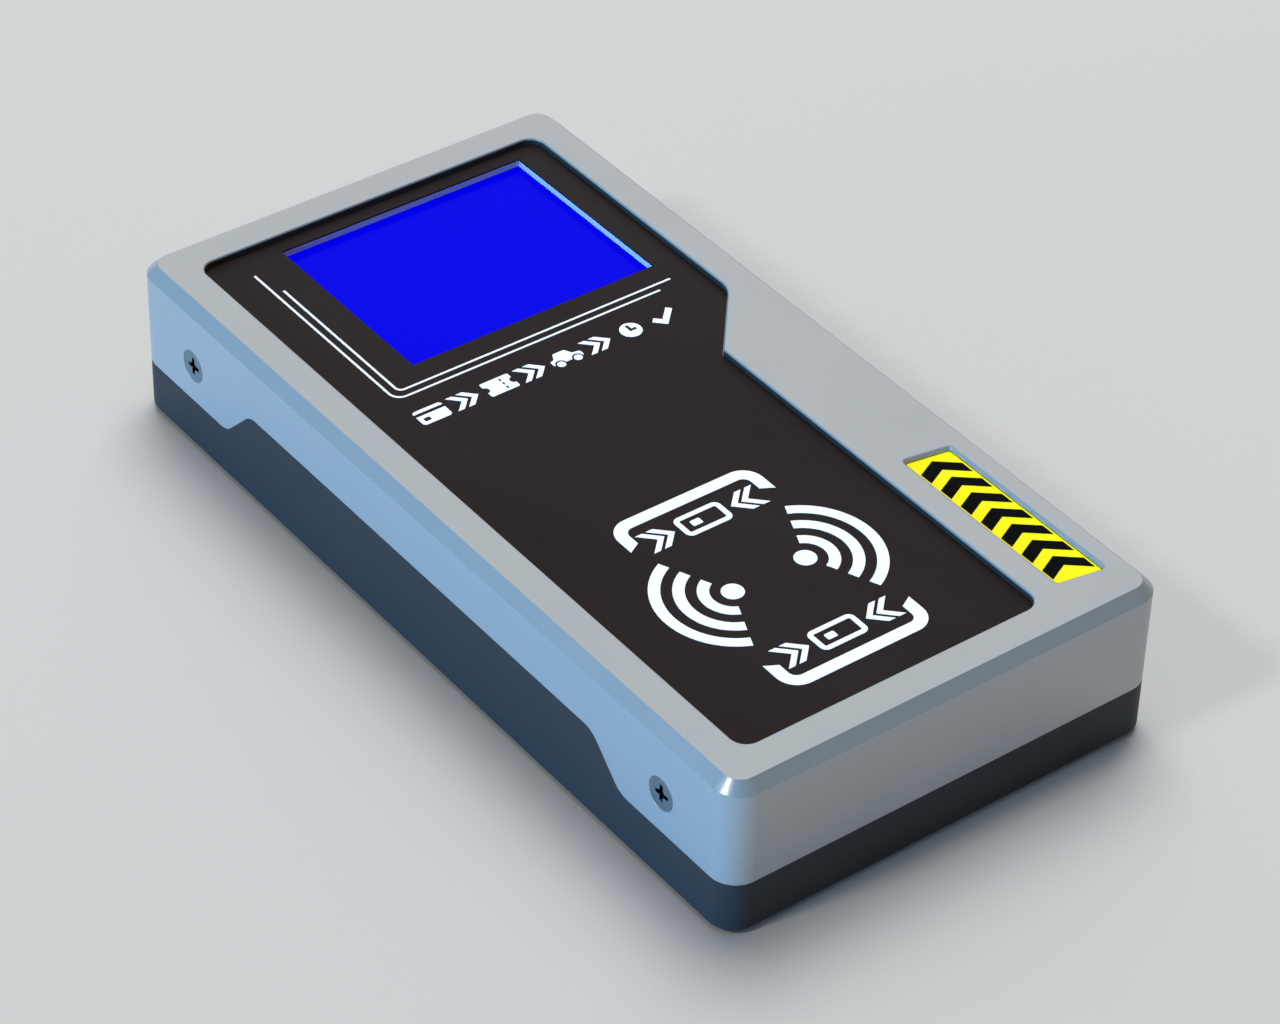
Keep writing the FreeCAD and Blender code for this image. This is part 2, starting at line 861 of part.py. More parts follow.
def ticket_icon(x, y):
    """A ticket with two bitten sides and a row of perforations."""
    cuts = [ink_disc(x + side * icon_width / 2, y, ticket_bite) for side in (-1, 1)]
    for row in (-1, 0, 1):
        cuts.append(ink(rectangle(*span(x + ticket_hole_shift, ticket_hole_width),
                                  *span(y + row * ticket_hole_pitch, ticket_hole_length))))
    return [cut_away(icon_plate(x, y, ticket_corner), cuts)]


def car_icon(x, y):
    """A car seen from the side, its wheels clear of its arches."""
    body = ink([(x + across, y + up, radius) for across, up, radius in car_outline])
    wheels = []
    for side in (-1, 1):
        wheel_x = x + side * car_wheel_offset
        body = body.cut(ink_disc(wheel_x, y - car_wheel_drop, car_arch_radius))
        wheels.append(ink_disc(wheel_x, y - car_wheel_drop, car_wheel_radius))
    return [body] + wheels


def clock_icon(x, y):
    """A solid clock face with two clear hands."""
    half = icon_stroke / 3
    hour_tip = x + clock_hour_hand
    minute_tip = y + clock_minute_hand
    hands = ink([(x - half, y - half, 0), (hour_tip, y - half, 0), (hour_tip, y + half, 0),
                 (x + half, y + half, 0), (x + half, minute_tip, 0), (x - half, minute_tip, 0)])
    return [ink_disc(x, y, icon_height / 2).cut(hands)]


def tick_icon(x, y):
    """A tick of even stroke."""
    path = [(x + across, y + up, 0) for across, up in tick_path]
    return [strip(path, tick_stroke, panel_top, panel_top + ink_thickness, PLAN)]


def panel_print():
    """All the white ink on the front panel: lines, a row of steps in pictures, and the reader mark."""
    shapes = printed_lines()
    row = [card_icon, arrow_icon, ticket_icon, arrow_icon, car_icon, arrow_icon, clock_icon, tick_icon]
    row_y = window_front - outer_line_front - icon_row_drop
    for index, icon in enumerate(row):
        shapes += icon(window_left - icon_row_inset + index * icon_pitch, row_y)
    for way in (-1, 1):
        shapes.append(printed_bracket(way))
        shapes += printed_waves(way)
        shapes += card_mark(mark_y + way * mark_card_offset)
    return Part.makeCompound(shapes)


def badge_plate():
    return prism(badge_outline(badge_gap, badge_corner), body_top - badge_pocket_depth, badge_top)


def badge_print():
    """Black chevrons along the badge, leaning with its ends and pointing at the screen."""
    half = badge_width / 2 - badge_gap - badge_chevron_margin
    lean = math.tan(badge_slant)
    shapes = []
    for index in range(badge_chevrons):
        y = badge_y + (index - (badge_chevrons - 1) / 2) * badge_chevron_pitch - badge_chevron_rise
        outline = [(-half, 0), (0, badge_chevron_rise), (half, 0), (half, badge_chevron_width),
                   (0, badge_chevron_rise + badge_chevron_width), (-half, badge_chevron_width)]
        corners = [(badge_x + u, y + v - u * lean, 0) for u, v in outline]
        shapes.append(prism(corners, badge_top, badge_top + ink_thickness))
    return Part.makeCompound(shapes)


def cross_recess(place, inward):
    """Cutter of a cross recess: two tapering slots and a pointed middle."""
    span_radius = cross_span / 2
    taper = Part.makeCone(span_radius, span_radius / 3, cross_depth, place, inward)
    along = V(0, 0, 1) if abs(inward.z) < 0.5 else V(0, 1, 0)
    across = inward.cross(along)
    arms = []
    for arm, thin in ((along, across), (across, along)):
        corner = place - arm * span_radius - thin * (cross_width / 2)
        ends = [corner, corner + arm * cross_span, corner + arm * cross_span + thin * cross_width,
                corner + thin * cross_width]
        slot = Part.Face(Part.makePolygon(ends + [corner])).extrude(inward * cross_depth)
        arms.append(slot)
    pit = Part.makeCone(cross_width, 0, cross_depth + cross_width / 2, place, inward)
    return joined(arms).common(taper).fuse(pit)


def case_screws():
    """M3 countersunk screws, their heads just under the case's sides."""
    screws = []
    for place, inward in screw_sites():
        top = place + inward * screw_sink
        cone_height = screw_head_radius - screw_radius
        rim = rod(screw_head_radius, top, inward, screw_head_rim)
        cone = Part.makeCone(screw_head_radius, screw_radius, cone_height, top + inward * screw_head_rim,
                             inward)
        shank = rod(screw_radius, top, inward, screw_length)
        head_space = Part.makeCone(screw_head_radius + screw_sink, 0, screw_head_radius + screw_sink, place,
                                   inward)
        head = rim.fuse(cone).common(head_space)
        screws.append(joined([head, shank]).cut(cross_recess(top, inward)))
    return Part.makeCompound(screws)


def thread_inserts():
    """Brass inserts pressed into the lower half's posts."""
    inserts = []
    for place, inward in screw_sites():
        seat = place + inward * (half_width - post_outer)
        barrel = rod(insert_radius, seat, inward, insert_length)
        inserts.append(barrel.cut(rod(screw_radius, seat, inward, insert_length)))
    return Part.makeCompound(inserts)


def rubber_feet():
    feet = []
    for side, end in CORNERS:
        base = V(side * (half_width - foot_side_inset), end * (half_length - foot_end_inset), 0)
        foot = rod(foot_radius, base, V(0, 0, 1), foot_proud + foot_pocket)
        feet.append(foot.makeFillet(foot_round, edges_at(foot, 0)))
    return Part.makeCompound(feet)


def rating_label():
    """Blank label in its shallow pocket under the case."""
    top = body_bottom + label_pocket
    return label_block(label_gap, top - label_thickness, top)


def board(x, y, bottom, holes, hole_radius):
    """Circuit board between x and y pairs, standing on bottom, with its screw holes."""
    plate = prism(rectangle(*x, *y, board_corner), bottom, bottom + board_thickness)
    drills = [rod(hole_radius + board_hole_gap, V(hole_x, hole_y, bottom - 1), V(0, 0, 1),
                  board_thickness + 2) for hole_x, hole_y in holes]
    return cut_away(plate, drills)


def pan_screws(holes, seat, way, radius, head_radius, length):
    """Pan-head screws against a board's face at seat; way 1 drives them up, -1 down."""
    screws = []
    for x, y in holes:
        inward = V(0, 0, way)
        head_height = head_radius * pan_height_share
        top = V(x, y, seat) - inward * head_height
        head = rod(head_radius, top, inward, head_height)
        head = head.makeFillet(head_height / 3, edges_at(head, top.z))
        shank = rod(radius, V(x, y, seat), inward, length)
        slot_scale = head_radius / screw_head_radius
        slot = cross_recess(V(0, 0, 0), inward).scaled(slot_scale)
        slot.translate(top)
        screws.append(joined([head, shank]).cut(slot))
    return Part.makeCompound(screws)


def main_board():
    return board((-main_half_width, main_half_width), (main_front, main_rear), main_bottom, main_holes,
                 main_screw_radius)


def main_board_screws():
    return pan_screws(main_holes, main_top, -1, main_screw_radius, main_screw_head,
                      main_boss_height + board_thickness - 2 * pilot_squeeze)


def screen_glass():
    """The display's two glass layers; the lower one runs out to a ledge on the left."""
    y = span(screen_y, 2 * glass_half_length)
    left = screen_x - glass_half_width
    right = screen_x + glass_half_width
    middle = screen_top - glass_layer
    lower = block((left, right), y, (glass_bottom, middle))
    upper = block((left + glass_ledge, right), y, (middle, screen_top))
    return joined([lower, upper])


def screen_backlight():
    """Light guide and its frame behind the glass, with a lamp bar along the left end."""
    outline = rectangle(*span(screen_x, 2 * glass_half_width), *span(screen_y, 2 * glass_half_length),
                        backlight_corner)
    slots = []
    for end in (-1, 1):
        slots.append(block(span(screen_x, 2 * (glass_half_width + spare)),
                           span(screen_y + end * glass_half_length / 2, backlight_slot_width),
                           (screen_board_top - spare, screen_board_top + backlight_slot_depth)))
    return cut_away(prism(outline, screen_board_top, glass_bottom), slots)


def screen_board():
    return board(span(screen_x, 2 * screen_board_half_width), span(screen_y, 2 * screen_board_half_length),
                 screen_board_bottom, screen_holes, small_screw_radius)


def screen_screws():
    return pan_screws(screen_holes, screen_board_bottom, 1, small_screw_radius, small_screw_head,
                      screen_screw_length)


def reader_board():
    return board(span(mark_x, reader_board_size), span(mark_y, reader_board_size), reader_board_bottom,
                 reader_holes, small_screw_radius)


def reader_screws():
    return pan_screws(reader_holes, reader_board_bottom, 1, small_screw_radius, small_screw_head,
                      reader_screw_length)


def antenna_coil():
    """Square copper turns on the reader board's upper face, one inside the next."""
    turns = []
    for index in range(coil_turns):
        outer = reader_board_size - 2 * (coil_inset + index * (coil_track + coil_space))
        inner = outer - 2 * coil_track
        top = reader_board_top + coil_thickness
        full = rectangle(*span(mark_x, outer), *span(mark_y, outer), coil_corner)
        hollow = rectangle(*span(mark_x, inner), *span(mark_y, inner), coil_corner - coil_track)
        turns.append(prism(full, reader_board_top, top).cut(prism(hollow, reader_board_top, top)))
    return Part.makeCompound(turns)


def chip(x, y, size, height, base, way=1):
    """Moulded chip body with a pin-one dimple; way 1 stands it on base, -1 hangs it."""
    body = block(span(x, size), span(y, size), (base, base + way * height))
    top = base + way * height
    body = body.makeChamfer(height / 5, edges_at(body, top))
    dimple = rod(size / 18, V(x - size / 3, y + size / 3, top), V(0, 0, -way), height / 8)
    return body.cut(dimple)


def reader_chip():
    return chip(mark_x, mark_y, reader_chip_size, reader_chip_height, reader_board_bottom, -1)


def on_main(place):
    """A place on the main board, from its X and its distance from the board's rear edge."""
    x, from_rear = place
    return x, main_rear - from_rear


def processor():
    x, y = on_main(processor_place)
    return chip(x, y, processor_size, processor_height, main_top)


def processor_leads():
    """Rows of leads on the processor's four sides."""
    x, y = on_main(processor_place)
    leads = []
    for index in range(lead_count):
        offset = (index - (lead_count - 1) / 2) * lead_pitch
        for way in (-1, 1):
            out = (way * processor_size / 2, way * (processor_size / 2 + lead_reach))
            height = (main_top, main_top + lead_size)
            leads.append(block((x + out[0], x + out[1]), span(y + offset, lead_size), height))
            leads.append(block(span(x + offset, lead_size), (y + out[0], y + out[1]), height))
    return Part.makeCompound(leads)


def network_chip():
    x, y = on_main(network_chip_place)
    return chip(x, y, network_chip_size, network_chip_height, main_top)


def network_transformer():
    x, y = on_main(transformer_place)
    top = main_top + transformer_height
    can = block(span(x, transformer_width), span(y, transformer_length), (main_top, top))
    return can.makeChamfer(transformer_edge, edges_at(can, top))


def crystal():
    """Oblong metal can of the clock crystal."""
    x, y = on_main(crystal_place)
    corner = (crystal_width - crystal_flat) / 2
    return prism(rectangle(*span(x, crystal_length), *span(y, crystal_width), corner),
                 main_top, main_top + crystal_height)


def buzzer():
    """Round sounder with a sound hole in its top."""
    x, y = on_main(buzzer_place)
    can = rod(buzzer_radius, V(x, y, main_top), V(0, 0, 1), buzzer_height)
    hole = rod(buzzer_hole_radius, V(x, y, main_top + buzzer_height), V(0, 0, -1), buzzer_hole_depth)
    return can.cut(hole)


def capacitors():
    """Two electrolytic cans beside the power jack, on their square bases."""
    cans = []
    for place, radius, height in capacitor_cans:
        x, y = on_main(place)
        side = 2 * radius + capacitor_base_margin
        base = block(span(x, side), span(y, side), (main_top, main_top + capacitor_base))
        can = rod(radius, V(x, y, main_top + capacitor_base), V(0, 0, 1), height - capacitor_base)
        cans.append(joined([base, can]))
    return Part.makeCompound(cans)


def inductor():
    """Square ferrite block with the round of its winding seen in its top."""
    x, y = on_main(inductor_place)
    core = prism(rectangle(*span(x, inductor_size), *span(y, inductor_size), inductor_corner), main_top,
                 main_top + inductor_height)
    return core.cut(rod(inductor_eye_radius, V(x, y, main_top + inductor_height), V(0, 0, -1),
                        inductor_eye_depth))


def regulator():
    """Power regulator with its heat tab."""
    x, y = on_main(regulator_place)
    body = block(span(x, regulator_width), span(y, regulator_length),
                 (main_top, main_top + regulator_height))
    back = y + regulator_length / 2
    tab = block(span(x, regulator_tab_width), (back, back + regulator_tab_reach),
                (main_top, main_top + regulator_tab_thickness))
    return joined([body, tab])


def coin_cell():
    x, y = on_main(cell_place)
    cell = rod(cell_radius, V(x, y, main_top + cell_floor), V(0, 0, 1), cell_height)
    return cell.makeFillet(cell_edge, edges_at(cell, main_top + cell_floor + cell_height))


def coin_cell_holder():
    """Open holder that cups the clock's cell and lets it out at the side."""
    x, y = on_main(cell_place)
    seat = main_top + cell_floor
    outer = rod(cell_radius + cell_gap + cell_wall, V(x, y, main_top), V(0, 0, 1), cell_floor + cell_height)
    cup = rod(cell_radius + cell_gap, V(x, y, seat), V(0, 0, 1), cell_height)
    finger = block(span(x, cell_radius), (y - 2 * cell_radius, y), (seat, seat + spare))
    return cut_away(outer, [cup, finger])


def cable_socket(x, y, width, base, way):
    """Low flat-cable socket standing on base (way 1) or hanging from it (way -1)."""
    levels = (base, base + way * socket_height)
    return block(span(x, width + 2 * socket_side), span(y, socket_depth), levels)


def screen_cable_places():
    """Middles along Y of the two sockets of the screen's cable."""
    return screen_y - screen_socket_offset, main_rear - screen_socket_rear


def screen_cable_sockets():
    upper_y, lower_y = screen_cable_places()
    return Part.makeCompound([cable_socket(screen_x, upper_y, screen_cable_width, screen_board_bottom, -1),
                              cable_socket(screen_x, lower_y, screen_cable_width, main_top, 1)])


def screen_cable():
    """Flat cable that drops from the screen board to the main board in one long S."""
    upper_y, lower_y = screen_cable_places()
    upper_z = screen_board_bottom - socket_height / 2
    lower_z = main_top + socket_height / 2
    turn = lower_y + socket_depth / 2 + cable_loop
    path = [(upper_y - socket_depth / 2, upper_z, 0), (turn, upper_z, cable_bend),
            (turn, lower_z, cable_bend), (lower_y + socket_depth / 2, lower_z, 0)]
    return strip(path, cable_thickness, *span(screen_x, screen_cable_width), SIDE)


def reader_cable_places():
    """Middles along Y of the two sockets of the reader's cable."""
    return mark_y + reader_board_size / 2 - reader_socket_inset, main_front + reader_socket_front


def reader_cable_sockets():
    upper_y, lower_y = reader_cable_places()
    return Part.makeCompound([cable_socket(mark_x, upper_y, reader_cable_width, reader_board_bottom, -1),
                              cable_socket(mark_x, lower_y, reader_cable_width, main_top, 1)])


def reader_cable():
    """Flat cable that loops from the reader board down to the main board."""
    upper_y, lower_y = reader_cable_places()
    upper_z = reader_board_bottom - socket_height / 2
    lower_z = main_top + socket_height / 2
    turn = max(upper_y, lower_y) + socket_depth / 2 + reader_loop
    path = [(upper_y + socket_depth / 2, upper_z, 0), (turn, upper_z, cable_bend),
            (turn, lower_z, cable_bend), (lower_y + socket_depth / 2, lower_z, 0)]
    return strip(path, cable_thickness, *span(mark_x, reader_cable_width), SIDE)


def power_jack():
    """Moulded barrel jack, its bore open to the rear."""
    left, right = span(power_jack_x, power_jack_width)
    outline = [(left, main_top, 0), (right, main_top, 0),
               (right, main_top + power_jack_height, power_jack_round),
               (left, main_top + power_jack_height, power_jack_round)]
    body = prism(outline, socket_face - power_jack_depth, socket_face, REAR)
    body = body.makeFillet(power_jack_edge, edges_facing_rear(body, socket_face))
    mouth = V(power_jack_x, socket_face, main_top + power_bore_height)
    return body.cut(rod(power_bore_radius, mouth, V(0, -1, 0), power_bore_depth))


def power_jack_pin():
    """Centre pin that stands on the bore's floor."""
    length = power_bore_depth - power_pin_setback
    root = V(power_jack_x, socket_face - power_bore_depth, main_top + power_bore_height)
    pin = rod(power_pin_radius, root, V(0, 1, 0), length)
    return pin.makeFillet(power_pin_radius / 2, edges_facing_rear(pin, root.y + length))


def network_jack_shield():
    """Folded metal sleeve round the network socket."""
    x = span(network_jack_x, network_jack_width)
    z = (main_top, main_top + network_jack_height)
    sleeve = block(x, (socket_face - network_jack_depth, socket_face), z)
    hollow = block((x[0] + network_shield, x[1] - network_shield),
                   (socket_face - network_jack_depth + network_shield, socket_face + 1),
                   (z[0] - 1, z[1] - network_shield))
    return sleeve.cut(hollow)


def network_mouth():
    """Space for the plug: the mouth and the latch's notch under it."""
    deep = (socket_face - network_mouth_depth, socket_face + spare)
    low = main_top + network_mouth_low
    high = main_top + network_mouth_high
    mouth = block(span(network_jack_x, network_mouth_width), deep, (low, high))
    latch = block(span(network_jack_x, network_latch_width), deep, (low - network_latch_drop, high))
    return mouth.fuse(latch)


def network_jack_insert():
    """Moulded inside of the network socket."""
    x = span(network_jack_x, network_jack_width - 2 * network_shield)
    body = block(x, (socket_face - network_jack_depth + network_shield, socket_face),
                 (main_top, main_top + network_jack_height - network_shield))
    return body.cut(network_mouth())


def network_jack_contacts():
    """Sprung wires that hang from the mouth's roof and slope down into it."""
    roof = main_top + network_mouth_high
    root_y = socket_face - network_contact_root
    tip_y = socket_face - network_contact_tip
    low = roof - network_contact_dip
    wire = network_contact_width
    outline = [(root_y, roof, 0), (tip_y, low + wire, 0), (tip_y, low, 0), (tip_y + wire, low, 0),
               (root_y + wire, roof - wire, 0), (root_y + wire, roof, 0)]
    contacts = []
    for index in range(network_contacts):
        x = network_jack_x + (index - (network_contacts - 1) / 2) * network_contact_pitch
        contacts.append(prism(outline, *span(x, wire), SIDE))
    return Part.makeCompound(contacts)


def switch_body():
    """Slide switch: a box with a channel for its carriage and a slot for the lever."""
    body = block(span(switch_x, switch_width), (switch_face - switch_depth, switch_face),
                 (main_top, main_top + switch_height))
    run = lever_travel + 2 * slide_gap
    front = (switch_depth - carriage_depth) / 2 - slide_gap
    channel = block(span(switch_x, carriage_width + run),
                    (switch_face - front - carriage_depth - 2 * slide_gap, switch_face - front),
                    span(lever_z, carriage_thickness + 2 * slide_gap))
    slot = block(span(switch_x, lever_width + run), (switch_face - front - 1, switch_face + 1),
                 span(lever_z, lever_thickness + 2 * slide_gap))
    return cut_away(body, [channel, slot])


def power_lever():
    """The switch's carriage and the lever that reaches into the rear wall's window."""
    back = switch_face - (switch_depth - carriage_depth) / 2 - carriage_depth
    carriage = block(span(lever_rest_x, carriage_width), (back, back + carriage_depth),
                     span(lever_z, carriage_thickness))
    tip = half_length - lever_sink
    stem = block(span(lever_rest_x, lever_width), (back, tip), span(lever_z, lever_thickness))
    return joined([carriage, stem.makeFillet(lever_edge, edges_facing_rear(stem, tip))])


def reset_switch_body():
    """Key-switch body with the chamber of its plunger."""
    body = block(span(reset_x, reset_body_width), (switch_face - reset_body_depth, switch_face),
                 (main_top, main_top + reset_body_height))
    bore = rod(reset_stem_radius + reset_fit, V(reset_x, switch_face, reset_z), V(0, -1, 0),
               reset_front_wall)
    chamber = rod(reset_flange_radius + reset_fit, V(reset_x, switch_face - reset_front_wall, reset_z),
                  V(0, -1, 0), reset_flange_thickness + reset_travel + reset_fit)
    return cut_away(body, [bore, chamber])


def reset_plunger():
    """Plunger behind the rear wall's pin hole, held in by its flange."""
    back = switch_face - reset_front_wall
    stem = rod(reset_stem_radius, V(reset_x, back, reset_z), V(0, 1, 0),
               reset_front_wall + reset_stem_reach)
    flange = rod(reset_flange_radius, V(reset_x, back, reset_z), V(0, -1, 0), reset_flange_thickness)
    return joined([stem, flange])


NODES = {
    "lower_shell": lower_shell,
    "upper_shell": upper_shell,
    "front_panel": front_panel,
    "panel_adhesive": panel_adhesive,
    "panel_print": panel_print,
    "badge_plate": badge_plate,
    "badge_print": badge_print,
    "case_screws": case_screws,
    "thread_inserts": thread_inserts,
    "rubber_feet": rubber_feet,
    "rating_label": rating_label,
    "main_board": main_board,
    "main_board_screws": main_board_screws,
    "screen_glass": screen_glass,
    "screen_backlight": screen_backlight,
    "screen_board": screen_board,
    "screen_screws": screen_screws,
    "screen_cable": screen_cable,
    "screen_cable_sockets": screen_cable_sockets,
    "reader_board": reader_board,
    "reader_screws": reader_screws,
    "antenna_coil": antenna_coil,
    "reader_chip": reader_chip,
    "reader_cable": reader_cable,
    "reader_cable_sockets": reader_cable_sockets,
    "processor": processor,
    "processor_leads": processor_leads,
    "network_chip": network_chip,
    "network_transformer": network_transformer,
    "crystal": crystal,
    "buzzer": buzzer,
    "capacitors": capacitors,
    "inductor": inductor,
    "regulator": regulator,
    "coin_cell": coin_cell,
    "coin_cell_holder": coin_cell_holder,
    "power_jack": power_jack,
    "power_jack_pin": power_jack_pin,
    "network_jack_shield": network_jack_shield,
    "network_jack_insert": network_jack_insert,
    "network_jack_contacts": network_jack_contacts,
    "switch_body": switch_body,
    "power_lever": power_lever,
    "reset_switch_body": reset_switch_body,
    "reset_plunger": reset_plunger,
}

for name, make in NODES.items():
    shape = make()
    shape.exportStep(f"parts/{name}.step")
    print(f"{name}: {len(shape.Solids)} solids, valid {shape.isValid()}, volume {shape.Volume:.1f} mm3")
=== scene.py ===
import json
import math

import bpy
from mathutils import Matrix, Vector


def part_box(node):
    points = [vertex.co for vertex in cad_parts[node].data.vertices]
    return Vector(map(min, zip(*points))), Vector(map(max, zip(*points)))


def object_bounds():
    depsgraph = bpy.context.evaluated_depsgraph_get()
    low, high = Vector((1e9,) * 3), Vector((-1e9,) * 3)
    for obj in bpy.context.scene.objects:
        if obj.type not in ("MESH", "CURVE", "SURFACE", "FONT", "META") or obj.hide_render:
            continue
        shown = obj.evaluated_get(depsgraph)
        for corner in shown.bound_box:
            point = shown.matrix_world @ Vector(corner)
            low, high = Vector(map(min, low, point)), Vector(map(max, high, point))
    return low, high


# Looks of a desk-top parking validation terminal. Lengths are in metres, as in the frame.
# Texture sizes are given in millimetres, because the grain of a surface is that small.

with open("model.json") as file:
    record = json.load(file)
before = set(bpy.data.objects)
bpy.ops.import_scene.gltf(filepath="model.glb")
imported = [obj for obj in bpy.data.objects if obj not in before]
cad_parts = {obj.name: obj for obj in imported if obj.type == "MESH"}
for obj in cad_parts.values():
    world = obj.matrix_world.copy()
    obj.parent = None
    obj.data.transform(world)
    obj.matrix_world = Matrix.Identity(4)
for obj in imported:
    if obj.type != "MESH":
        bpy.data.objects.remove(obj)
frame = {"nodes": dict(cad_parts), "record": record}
cad_low, cad_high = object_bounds()
centre = (cad_low + cad_high) / 2
reach = (cad_high - cad_low).length / 2

MM = 0.001


# ---------------------------------------------------------------- camera

# Fitted to the straight edges of the case in the photograph.
azimuth = math.radians(-37.9)
elevation = math.radians(38.5)
roll = math.radians(1.76)
lens_mm = 120.8
sensor_mm = 36.0
camera_distance = 746.9 * MM
aim_right = 2.3 * MM
aim_up = -4.5 * MM
clip_factor = 50


def make_camera():
    """A long lens that looks down on the left front corner."""
    back = Vector((math.sin(azimuth) * math.cos(elevation),
                   -math.cos(azimuth) * math.cos(elevation),
                   math.sin(elevation)))
    level = Vector((math.cos(azimuth), math.sin(azimuth), 0))
    upright = back.cross(level)
    right = math.cos(roll) * level + math.sin(roll) * upright
    up = math.cos(roll) * upright - math.sin(roll) * level
    place = centre + back * camera_distance + right * aim_right + up * aim_up
    data = bpy.data.cameras.new("camera")
    data.lens = lens_mm
    data.sensor_width = sensor_mm
    data.clip_start = camera_distance / clip_factor
    data.clip_end = camera_distance * clip_factor
    camera = bpy.data.objects.new("camera", data)
    turn = Matrix((right, up, back)).transposed().to_4x4()
    camera.matrix_world = Matrix.Translation(place) @ turn
    bpy.context.scene.collection.objects.link(camera)
    bpy.context.scene.camera = camera


# ---------------------------------------------------------------- studio

floor_reaches = 40
room_colour = (0.66, 0.85, 1.0)
room_strength = 0.29


def area_light(name, heading, height, distance, size, power, colour, spread=180):
    """A soft box turned to the object. Heading is in degrees from +X towards +Y, and height in
    degrees above the floor. Distance and size are in metres, and power is in watts."""
    turn, rise = math.radians(heading), math.radians(height)
    away = Vector((math.cos(turn) * math.cos(rise), math.sin(turn) * math.cos(rise), math.sin(rise)))
    data = bpy.data.lights.new(name, "AREA")
    data.shape = "RECTANGLE"
    data.size, data.size_y = size
    data.energy = power
    data.color = colour
    data.spread = math.radians(spread)
    lamp = bpy.data.objects.new(name, data)
    lamp.location = centre + away * distance
    lamp.rotation_mode = "QUATERNION"
    lamp.rotation_quaternion = away.to_track_quat("Z", "Y")
    lamp.visible_camera = False
    bpy.context.scene.collection.objects.link(lamp)
    return lamp


def keep_off(lamp, thing):
    """Stops a lamp from lighting one object."""
    group = bpy.data.collections.new(lamp.name + "_keeps_off")
    group.objects.link(thing)
    group.collection_objects[0].light_linking.link_state = "EXCLUDE"
    lamp.light_linking.receiver_collection = group


def make_studio(floor):
    """A soft box behind the right rear corner is there to be reflected, and a key above it lights
    the top. A cool low fill at the left keeps off the floor, a small kicker picks out the near
    corner, and the room is even."""
    area_light("soft_box", heading=52, height=38, distance=3.0, size=(2.7, 2.7), power=21,
               colour=(1.0, 0.96, 0.91))
    key = area_light("key", heading=52, height=69, distance=3.2, size=(2.0, 2.0), power=76,
                     colour=(1.0, 0.985, 0.955))
    key.visible_glossy = False
    fill = area_light("cool_fill", heading=178, height=9, distance=2.4, size=(2.1, 0.5), power=21,
                      colour=(0.06, 0.46, 1.0), spread=60)
    fill.visible_glossy = False
    keep_off(fill, floor)
    area_light("corner_kick", heading=176, height=44, distance=3.0, size=(0.32, 0.32), power=18,
               colour=(1, 1, 1))
    world = bpy.data.worlds.new("room")
    world.use_nodes = True
    background = world.node_tree.nodes["Background"]
    background.inputs["Color"].default_value = (*room_colour, 1)
    background.inputs["Strength"].default_value = room_strength
    bpy.context.scene.world = world
    bpy.context.scene.view_settings.view_transform = "Standard"


def make_floor(material):
    """A plain pale floor under the feet."""
    half = reach * floor_reaches
    corners = [(-half, -half, 0), (half, -half, 0), (half, half, 0), (-half, half, 0)]
    mesh = bpy.data.meshes.new("floor")
    mesh.from_pydata(corners, [], [(0, 1, 2, 3)])
    floor = bpy.data.objects.new("floor", mesh)
    mesh.materials.append(material)
    bpy.context.scene.collection.objects.link(floor)
    return floor


# ---------------------------------------------------------------- material building

# A Mix node has sockets for each kind of data, and these are the places of its colour ones.
mix_first, mix_second, mix_result = 6, 7, 2


